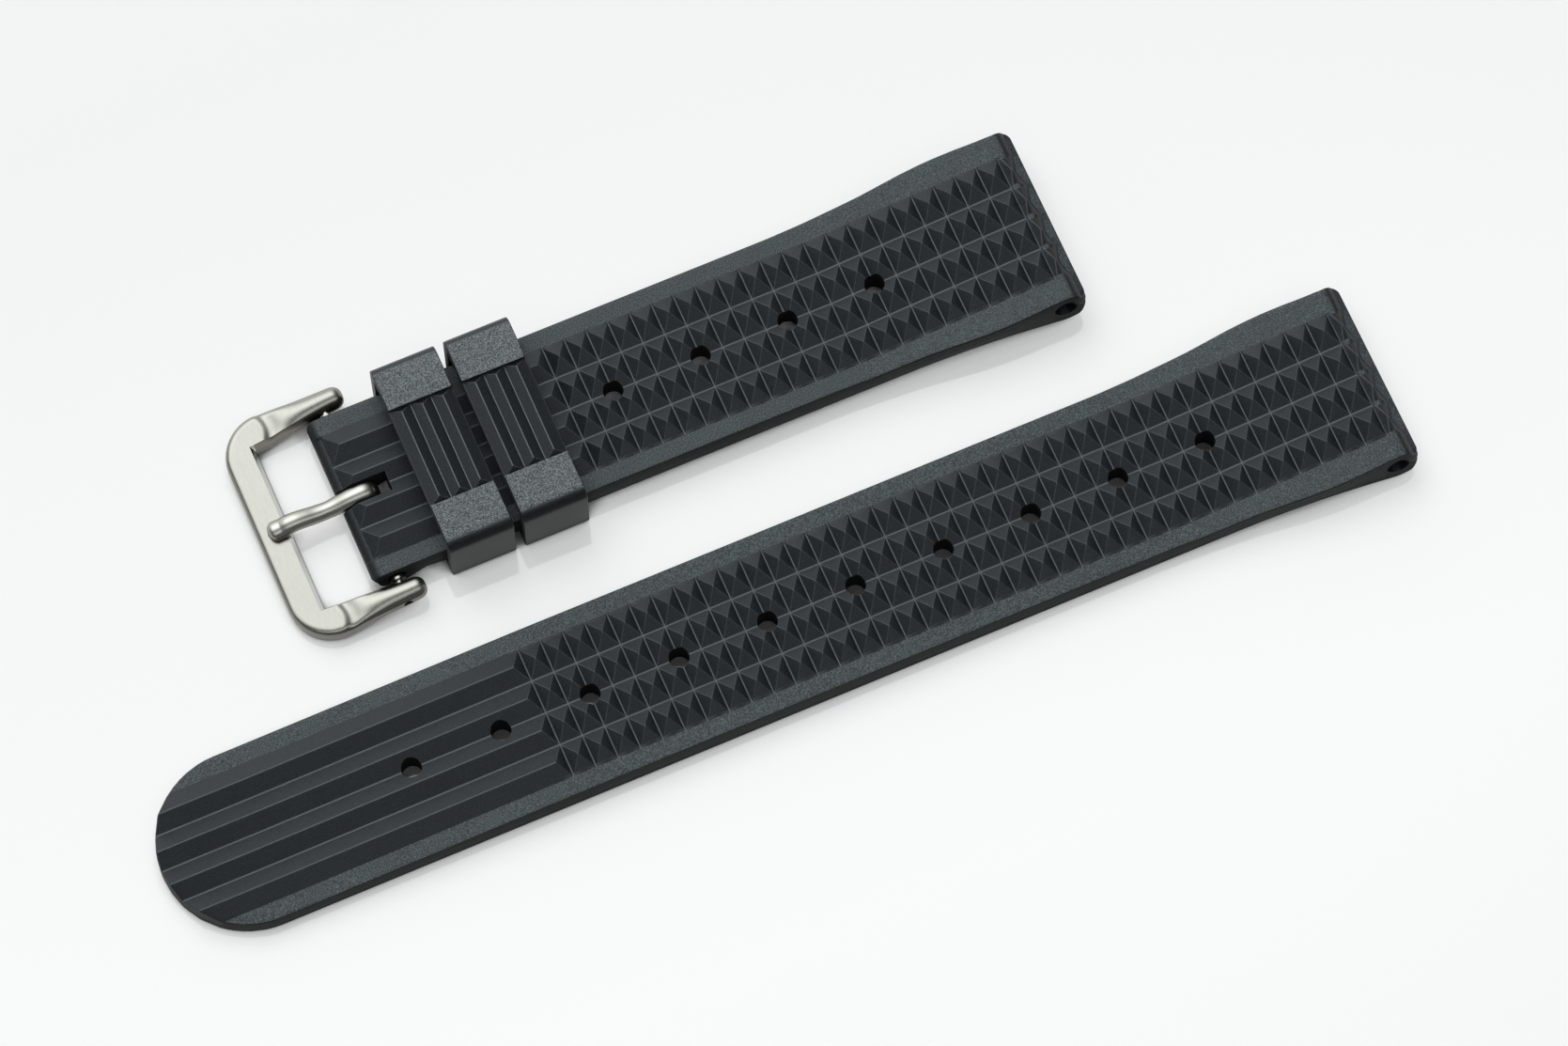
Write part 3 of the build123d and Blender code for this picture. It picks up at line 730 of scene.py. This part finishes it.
short_strap = grow(
    "short_strap_rubber", short_blank,
    {"Material": strap_rubber, "Place": short_place, "Columns": float(short_columns),
     "Low Hip": (short_end + hip_start) * mm, "Hip Length": hip_length * mm},
    [strap_cutter("short_cutter", short_place, short_holes), bar_bore, new_object("slot", slot_mesh)],
)
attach(short_strap, "short_strap")
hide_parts("short_strap")

# Keepers: two moulded rubber loops that slide on the short strap and hold the long strap's tail.
# Each has a sunk panel of three ridges on its top, between two plain grained lands.
keeper_length, keeper_half, keeper_top, keeper_edge = 6.7, 10.3, 7.4, 0.12
first_keeper, keeper_gap = 5.2, 1.0
hole_half, hole_low, hole_high, hole_corner = 9.1, 0.8, 6.4, 0.3
foot_corner, shoulder = 0.5, 1.3
panel_half, panel_floor, ridge_pitch, ridge_height, ridge_hip = 5.35, 7.0, 2.15, 0.45, 0.62
ridge_count, ridge_crest, ridge_valley = 3, 0.047, 0.035
# The keepers' own tones: the line tone is their painted highlight on the ridges' valleys and crests, the wall tone
# their painted shade on the upright walls.
keeper_tones = {
    "plain_tone": (0.11, 0.122, 0.124, 1), "facet_tone": (0.003, 0.005, 0.007, 1),
    "wall_tone": (0.045, 0.047, 0.046, 1), "line_tone": (0.16, 0.18, 0.18, 1),
}


def loop_corner(side, height, radius, first, steps):
    """A rounded corner of the loop over a quarter turn: for each point its place outside and inside."""
    sign = 1 if side > 0 else -1
    inner_z = hole_low + hole_corner if first in (-90, 0) else hole_high - hole_corner
    inner = (sign * (hole_half - hole_corner), inner_z)
    turn = [math.radians(first - 90 * k / steps) for k in range(steps + 1)]
    return [
        (side + radius * math.cos(a), height + radius * math.sin(a),
         inner[0] + hole_corner * math.cos(a), inner[1] + hole_corner * math.sin(a))
        for a in turn
    ]


def loop_outline():
    """The loop seen along the strap, from its far foot over the top: outer and inner places."""
    foot, top = keeper_half - foot_corner, keeper_half - shoulder
    lands = [(y, keeper_top, y, hole_high) for y in (-8.6, -7.2, -panel_half)]
    inner = panel_half - ridge_hip
    floor = [(y, panel_floor, y * 0.998, hole_high) for y in (-panel_half, -inner, -2.4, 0, 2.4, inner, panel_half)]
    ring = loop_corner(-foot, foot_corner, foot_corner, -90, 5)
    ring += [(-keeper_half, 3.4, -hole_half, 3.6)]
    ring += loop_corner(-top, keeper_top - shoulder, shoulder, 180, 12)
    ring += lands + floor + [(-y, z, -inner_y, inner_z) for y, z, inner_y, inner_z in lands[::-1]]
    ring += loop_corner(top, keeper_top - shoulder, shoulder, 90, 12)
    ring += [(keeper_half, 3.4, hole_half, 3.6)]
    ring += loop_corner(foot, foot_corner, foot_corner, 0, 5)
    return np.array(ring + [(y, 0, y, hole_low) for y in (5, 0, -5)])


def inward(line):
    """Directions into a closed line's inside, long enough to keep the offset at its corners."""
    step = np.roll(line, -1, 0) - line
    normal = np.stack([step[:, 1], -step[:, 0]], -1) / np.hypot(*step.T)[:, None]
    mean = normal + np.roll(normal, 1, 0)
    return mean / (mean ** 2).sum(1)[:, None] * 2


def keeper_blank(name):
    """The closed loop without its ridges; the panel's points carry 'relief'."""
    ring = loop_outline()
    outer, inner = ring[:, :2], ring[:, 2:]
    outer_in, inner_in = inward(outer), inward(inner)
    half, size = keeper_length / 2, len(ring)
    cell = [0, ridge_valley / 2, 0.5 - ridge_crest / 2, 0.5 + ridge_crest / 2, 1 - ridge_valley / 2]
    ridges = [(c + share - ridge_count / 2) * ridge_pitch for c in range(ridge_count) for share in cell]
    ends = [half - d for d in (0, 0.012, 0.04, 0.08, keeper_edge)]
    xs = [-x for x in ends] + ridges + [ridge_count / 2 * ridge_pitch] + ends[::-1]
    points, faces = [], []
    for x in xs:
        drop = float(rounded(half - abs(x), keeper_edge))
        points += [(x, y, z) for y, z in outer + outer_in * drop]
    hole = len(points)
    for x in (xs[0], xs[4], xs[-5], xs[-1]):
        drop = keeper_edge * 0.7 if abs(x) > half - 0.01 else 0
        points += [(x, y, z) for y, z in inner - inner_in * drop]
    panel = [k for k in range(size) if abs(outer[k, 1] - panel_floor) < 1e-6 and abs(outer[k, 0]) < panel_half + 1e-6]
    for i in range(len(xs) - 1):
        centre = (xs[i] + xs[i + 1]) / 2
        rising = (centre / ridge_pitch + ridge_count / 2) % 1 < 0.5
        for k in range(size):
            n = (k + 1) % size
            a, b, c, d = i * size + k, (i + 1) * size + k, (i + 1) * size + n, i * size + n
            hip = k in (panel[0], panel[-2]) and abs(centre) < ridge_count / 2 * ridge_pitch
            if hip and rising == (k == panel[0]):
                faces += [(a, b, c), (a, c, d)]
            elif hip:
                faces += [(a, b, d), (b, c, d)]
            else:
                faces.append((a, b, c, d))
    last = (len(xs) - 1) * size
    for k in range(size):
        n = (k + 1) % size
        for i in (hole, hole + size, hole + 2 * size):
            faces.append((i + k, i + n, i + size + n, i + size + k))
        faces.append((k, n, hole + n, hole + k))
        faces.append((last + n, last + k, hole + 3 * size + k, hole + 3 * size + n))
    marks = np.zeros(len(points))
    marks[[i * size + k for i in range(len(xs)) for k in panel]] = 1
    facet = [all(marks[v] for v in face) for face in faces]
    mesh = new_mesh(name, np.array(points) * mm, faces, marks, facet)
    cleaned(mesh)
    return mesh


keeper_rubber = rubber("keeper_rubber", wall_roughness=0.0, **keeper_tones)
bar_x = bar_place[0] / mm
for number, node in enumerate(("front_keeper", "rear_keeper")):
    keeper_x = bar_x + first_keeper + number * (keeper_length + keeper_gap) + keeper_length / 2
    keeper = grow(
        node + "_rubber", keeper_blank(node + "_loop"),
        {"Material": keeper_rubber, "Place": (keeper_x * mm, short_place[1], 0.0),
         "Along": (0, 1, 0), "Across": (1, 0, 0), "Columns": -1000.0,
         "Row Pitch": ridge_pitch * mm, "Rows": float(ridge_count), "Height": ridge_height * mm,
         "Valley Depth": 0.0, "Valley Share": ridge_valley, "Crest Share": ridge_crest,
         "Low Hip": -panel_half * mm, "High Hip": panel_half * mm, "Hip Length": ridge_hip * mm},
    )
    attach(keeper, node)
    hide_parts(node)

# Buckle frame: one piece of stainless steel, satin outside, with a polished bevel round its opening.
# Its flat front bar ends in two lobes, each scooped down into a round arm with a hole for the bar.
# Sizes in millimetres from the bar's axis: towards the front, across, and up.
front_reach, front_inner, opening_half, lobe_outer = 10.9, 7.6, 8.8, 12.2
outer_corner, plate_half, bevel, bevel_drop = 4.4, 0.95, 0.45, 0.8
low_round, outer_round, outer_drop = 0.25, 0.6, 0.5
arm_centre, arm_radius, arm_stand, arm_last = 10.7, 1.13, 0.08, -1.15
arm_ease, inner_ease, outer_ease, round_ease = (6.9, 4.6), (front_inner, 8.4), (6.9, 8), (6.3, 5.0)
scoop_start, scoop_curve, scoop_run, scoop_depth = 6.35, 0.55, 0.9, 0.24
end_power, bevel_loss = 0.7, 0.3
notch_floor, notch_reach, notch_half, notch_top, pin_radius = plate_half - 0.45, front_inner + 1.15, 1.06, 3, 0.5
droop = math.radians(5.35)
front_places = (0, 1.1, 1.3, 2.6, 4.2, 5.8, 7.1, 8.0, 8.5)
corner_degrees = (0, 11, 22, 33, 45, 57, 68, 79, 90)
arm_places = (
    7.35, 7.1, 6.9, 6.75, 6.6, 6.45, 6.3, 6.15, 6.0, 5.85, 5.7, 5.5, 5.3, 5.1, 4.9, 4.7,
    4.45, 4.2, 3.9, 3.6, 3.2, 2.6, 2.0, 1.2, 0.6, 0, -0.6, arm_last,
)
end_degrees = (15, 30, 45, 60, 72, 82, 88)
satin_tone, tongue_tone, polish_tone = (0.4, 0.3813, 0.3395), (0.558, 0.5348, 0.479), (0.93, 0.93, 0.9114)
steel_group = bpy.data.node_groups.new("steel_finish", "ShaderNodeTree")
n = Nodes(steel_group)
n.sockets(
    [
        ("Roughness", "Float", 0.3), ("Grain", "Float", 0.5),
        ("Streak", "Vector", (1, 1, 1)), ("Tone", "Color", (*satin_tone, 1)),
    ],
    [("Color", "Color"), ("Roughness", "Float"), ("Normal", "Vector")],
)
place = n.place()
stretched = n.vector("MULTIPLY", place, n.inputs["Streak"])
scratches = n.noise(Vector=stretched, Scale=7000.0, Detail=3.0, Roughness=0.6)
clouds = n.noise(Vector=place, Scale=350.0, Detail=2.0)
level = n.math("MULTIPLY_ADD", n.math("SUBTRACT", scratches, 0.5), n.inputs["Grain"], 1.0)
level = n.math("MULTIPLY_ADD", n.math("SUBTRACT", clouds, 0.5), 0.1, level)
# Painted shade: faces that stand upright come out darker, down to half the tone.
tilt = n.math("ABSOLUTE", n.add("ShaderNodeSeparateXYZ", {0: n.place("Normal")}).outputs["Z"])
upright_shade = n.span(tilt, 0.2, 0.9, 0.5, 1.0)
tone = n.vector("SCALE", n.inputs["Tone"], Scale=n.math("MULTIPLY", level, upright_shade))
n.put(tone, n.outputs["Color"])
n.put(n.math("MULTIPLY", n.inputs["Roughness"], level), n.outputs["Roughness"])
bump = {"Strength": n.inputs["Grain"], "Distance": 0.000008, "Height": scratches}
n.put(n.add("ShaderNodeBump", bump).outputs["Normal"], n.outputs["Normal"])


def steel(name, roughness, grain, streak, tone=satin_tone):
    """Steel with fine scratches; streak gives how much they are drawn out along each axis."""
    material, nodes, shader = new_material(name, Metallic=1)
    values = {"Roughness": roughness, "Grain": grain, "Streak": streak, "Tone": (*tone, 1)}
    finish = nodes.add("ShaderNodeGroup", values, node_tree=steel_group).outputs
    for key, target in (("Color", "Base Color"), ("Roughness", "Roughness"), ("Normal", "Normal")):
        nodes.put(finish[key], shader[target])
    return material


def eased(share):
    return share * share * (3 - 2 * share)


def frame_section(reach, width, blend=0, dip=None):
    """Outline across the frame: places from the inner edge outwards and heights, flat to round."""
    top, low, outer, quarter = plate_half, low_round, width - outer_round, math.pi / 2
    flat = [(0, low - top), (0, -0.45), (0.03, -0.1), (0.1, top - bevel_drop), (reach / 2, top - bevel_drop / 2)]
    flat += [(reach, top)] + [(reach + (outer - reach) * k / 12, top) for k in range(1, 13)]
    flat += [
        (outer + outer_round * math.sin(a), top - outer_drop + outer_drop * math.cos(a))
        for a in (0.3, 0.6, 0.9, 1.2, quarter)
    ]
    flat += [(width, 0), (width, low - top)]
    flat += [(width - low + low * math.cos(a), low - top - low * math.sin(a)) for a in (0.5, 1.0, quarter)]
    flat += [(low + (width - 2 * low) * (4 - k) / 4, -top) for k in range(1, 5)]
    flat += [(low - low * math.sin(a), low - top - low * math.cos(a)) for a in (0.5, 1.0)]
    flat = np.array(flat)
    centre = width / 2
    angle = np.arctan2(flat[:, 1] / top, (flat[:, 0] - centre) / centre)
    circle = np.stack([centre + centre * np.cos(angle), arm_radius * np.sin(angle)], -1)
    mixed = flat * (1 - blend) + circle * blend
    if dip is not None:
        mixed[:, 1] -= np.clip(mixed[:, 1] / top, 0, 1) * dip(mixed[:, 0] / width * 2 - 1)
    return mixed


def frame_stations():
    """Places of the sections round the frame: inner point, outward direction, and the section there."""
    arc = np.array([front_reach - outer_corner, lobe_outer - outer_corner])
    corner, forward, sidewards = np.array([front_inner, opening_half]), np.array([1.0, 0.0]), np.array([0.0, 1.0])
    stations = []
    for y in front_places:
        reach = front_reach - front_inner
        if y > arc[1]:
            reach = arc[0] + math.sqrt(outer_corner ** 2 - (y - arc[1]) ** 2) - front_inner
        stations.append((np.array([front_inner, y]), forward, frame_section(bevel, reach)))
    for degree in corner_degrees:
        turn = math.radians(degree)
        ray = np.array([math.cos(turn), math.sin(turn)])
        away = corner - arc
        along = -away @ ray + math.sqrt((away @ ray) ** 2 - away @ away + outer_corner ** 2)
        if (corner + along * ray)[0] < arc[0]:
            along = (lobe_outer - corner[1]) / ray[1]
        stations.append((corner, ray, frame_section(bevel / max(ray), along)))
    for f in arm_places:
        thinning, inner_move, outer_move, blend = (
            np.clip((start - f) / run, 0, 1) for start, run in (arm_ease, inner_ease, outer_ease, round_ease)
        )
        inner_y = opening_half + (arm_centre - arm_radius - opening_half) * inner_move
        outer_y = lobe_outer + (arm_centre + arm_radius + arm_stand - lobe_outer) * outer_move
        if f > arc[0]:
            outer_y = arc[1] + math.sqrt(outer_corner ** 2 - (f - arc[0]) ** 2)

        def dip(v, f=f):
            past = scoop_start + scoop_curve * v ** 2 - f
            fall, fading = eased(np.clip(past / scoop_run, 0, 1)), np.clip(past - scoop_run, 0, None)
            return scoop_depth * fall * np.exp(-fading ** 2)

        section = frame_section(bevel * (1 - bevel_loss * eased(thinning)), outer_y - inner_y, eased(blend), dip)
        stations.append((np.array([f, inner_y]), sidewards, section))
    for degree in end_degrees:
        turn = math.radians(degree)
        shrink = math.cos(turn) ** end_power
        shrunk = np.stack([arm_radius + (section[:, 0] - arm_radius) * shrink, section[:, 1] * shrink], -1)
        inner = np.array([arm_last - arm_radius * math.sin(turn), arm_centre - arm_radius])
        stations.append((inner, sidewards, shrunk))
    return stations


def about_bar(points):
    """From places about the bar's axis (towards the front, across, up) to the layout, in metres."""
    f, y, z = np.asarray(points, float).T
    x = -f * math.cos(droop) - z * math.sin(droop)
    height = -f * math.sin(droop) + z * math.cos(droop)
    return np.stack([bar_place[0] + x * mm, bar_place[1] + y * mm, bar_place[2] + height * mm], -1)


def loft(name, rings):
    """Closed mesh through rings of points that follow each other along a piece."""
    size = len(rings[0])
    faces = []
    for i in range(len(rings) - 1):
        for k in range(size):
            n = (k + 1) % size
            faces.append((i * size + k, i * size + n, (i + 1) * size + n, (i + 1) * size + k))
    faces.append(tuple(range(size)))
    faces.append(tuple((len(rings) - 1) * size + k for k in range(size))[::-1])
    return new_mesh(name, about_bar(np.concatenate(rings)), faces)


def box_cutter(name, low, high):
    """Cutter with square corners, given about the bar's axis."""
    corners = [(f, y, z) for f in (low[0], high[0]) for y in (low[1], high[1]) for z in (low[2], high[2])]
    sides = [(0, 1, 3, 2), (4, 6, 7, 5), (0, 4, 5, 1), (2, 3, 7, 6), (0, 2, 6, 4), (1, 5, 7, 3)]
    mesh = new_mesh(name, about_bar(corners), sides)
    cleaned(mesh)
    return new_object(name, mesh)


far_side, near_side = [], []
for inner, ray, section in frame_stations():
    plan = inner + ray * section[:, :1]
    far_side.append(np.column_stack([plan, section[:, 1]]))
    near_side.append(far_side[-1] * (1, -1, 1))
rings = near_side[::-1] + far_side[1:]
frame_mesh = loft("buckle_frame_loft", rings)
frame_mesh.materials.append(steel("frame_satin", 0.29, 0.4, (1, 0.12, 1)))
frame_mesh.materials.append(steel("frame_polish", 0.1, 0.0, (1, 1, 1), polish_tone))
size, middle_ring, polished = len(rings[0]), len(rings) // 2, len(front_places) + len(corner_degrees) - 1
on_bevel = [
    int(k % size in (3, 4) and -polished <= k // size - middle_ring < polished)
    for k in range(len(frame_mesh.polygons))
]
frame_mesh.polygons.foreach_set("material_index", on_bevel)
cleaned(frame_mesh, merge=1e-6)
notch = box_cutter("notch", (front_inner - 1, -notch_half, notch_floor), (notch_reach, notch_half, notch_top))
notch_end = rod("notch_end", *about_bar([(notch_reach, 0, z) for z in (notch_floor, notch_top)]), notch_half * mm)
pin_hole = cross_rod("bar_hole", bar_place, pin_radius * mm, 0.016)
frame_mesh = carved(new_object("frame_blank", frame_mesh), [notch, notch_end, pin_hole])
frame_mesh.name = "buckle_frame_steel"
smoothed(frame_mesh, 30)
buckle_frame = new_object("buckle_frame_steel", frame_mesh)
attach(buckle_frame, "buckle_frame")
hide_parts("buckle_frame")

# Tongue: a steel wire, flattened and rolled round the spring bar at one end. It dips behind the
# front bar, rises over its edge and ends in a short bent tip that lies in the notch.
tongue_radius, eye_bore, strip_half, tip_length = 0.8, 0.96, 0.42, 0.75
tongue_rest = notch_floor + 0.05 + tongue_radius
shank_places = [
    (1.2, 1.3), (2.6, 1.0), (3.6, 0.92), (4.8, 1.1), (6.0, 1.45), (6.9, 1.66), (7.6, 1.64), (8.3, 1.42),
    (9.0, tongue_rest + 0.02), (9.75, tongue_rest - 0.12),
]
wire_half_width = ([0.5, 2.4, 3.6, 5.0, 7.0, 9.0], [0.98, 0.95, 0.88, 0.93, 0.98, 1.03])
wire_sides, flatten_before, flatten_after, top_flat = 24, 8, 8, (9, 4)


def smooth_path(corners, samples):
    """Even points on a smooth curve through the given places (a Catmull-Rom curve)."""
    p = np.array([2 * np.array(corners[0]) - corners[1], *corners, 2 * np.array(corners[-1]) - corners[-2]], float)
    out = []
    for i in range(1, len(p) - 2):
        a, b, c, d = p[i - 1 : i + 3]
        turn, twist = 2 * a - 5 * b + 4 * c - d, 3 * b - a - 3 * c + d
        for t in np.linspace(0, 1, samples, endpoint=False):
            out.append(0.5 * (2 * b + (c - a) * t + turn * t ** 2 + twist * t ** 3))
    return np.array(out + [p[-2]])


turns = np.radians(np.arange(-150, 91, 12))
eye = (eye_bore + strip_half) * np.stack([-np.cos(turns), np.sin(turns)], -1)
lead = len(eye)
route = np.concatenate([eye, smooth_path([tuple(eye[-1]), *shank_places], 6)[1:]])
step = np.gradient(route, axis=0)
step /= np.hypot(*step.T)[:, None]
upright = np.stack([-step[:, 1], step[:, 0]], -1)
distance = np.concatenate([[0], np.cumsum(np.hypot(*np.diff(route, axis=0).T))])
under = np.interp(distance, distance[[lead - flatten_before, lead + flatten_after]], [strip_half, tongue_radius])
over = np.interp(distance, distance[[lead - top_flat[0], lead - top_flat[1]]], [strip_half, tongue_radius])
wide = np.interp(route[:, 0], *wire_half_width)
past_tip = np.clip(distance - distance[-1] + tip_length, 0, tip_length) / tip_length
end_round = np.sqrt(np.clip(1 - past_tip ** 2, 0.02, 1))
turn = 2 * math.pi * np.arange(wire_sides) / wire_sides
rings = []
for i in range(len(route)):
    up = np.sin(turn) * np.where(np.sin(turn) > 0, over[i], under[i]) * end_round[i]
    side = np.cos(turn) * wide[i] * end_round[i]
    rings.append(np.stack([route[i, 0] + upright[i, 0] * up, side, route[i, 1] + upright[i, 1] * up], -1))
tongue_mesh = loft("buckle_tongue_steel", rings)
cleaned(tongue_mesh)
tongue_mesh.materials.append(steel("tongue_satin", 0.3, 0.22, (0.12, 1, 1), tongue_tone))
smoothed(tongue_mesh, 40)
tongue = new_object("buckle_tongue_steel", tongue_mesh)
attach(tongue, "buckle_tongue")
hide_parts("buckle_tongue")

# Spring bar: a bright turned steel tube with a sprung pin at each end, held by the short strap.
# The pins' discs show between the strap and the arms. The CAD's own shapes are right here.
bar_steel = steel("bar_steel", 0.16, 0.1, (1, 0.2, 1))
for node in ("spring_bar_tube", "spring_bar_far_plunger", "spring_bar_near_plunger", "spring_bar_spring"):
    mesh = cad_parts[node].data
    mesh.materials.clear()
    mesh.materials.append(bar_steel)
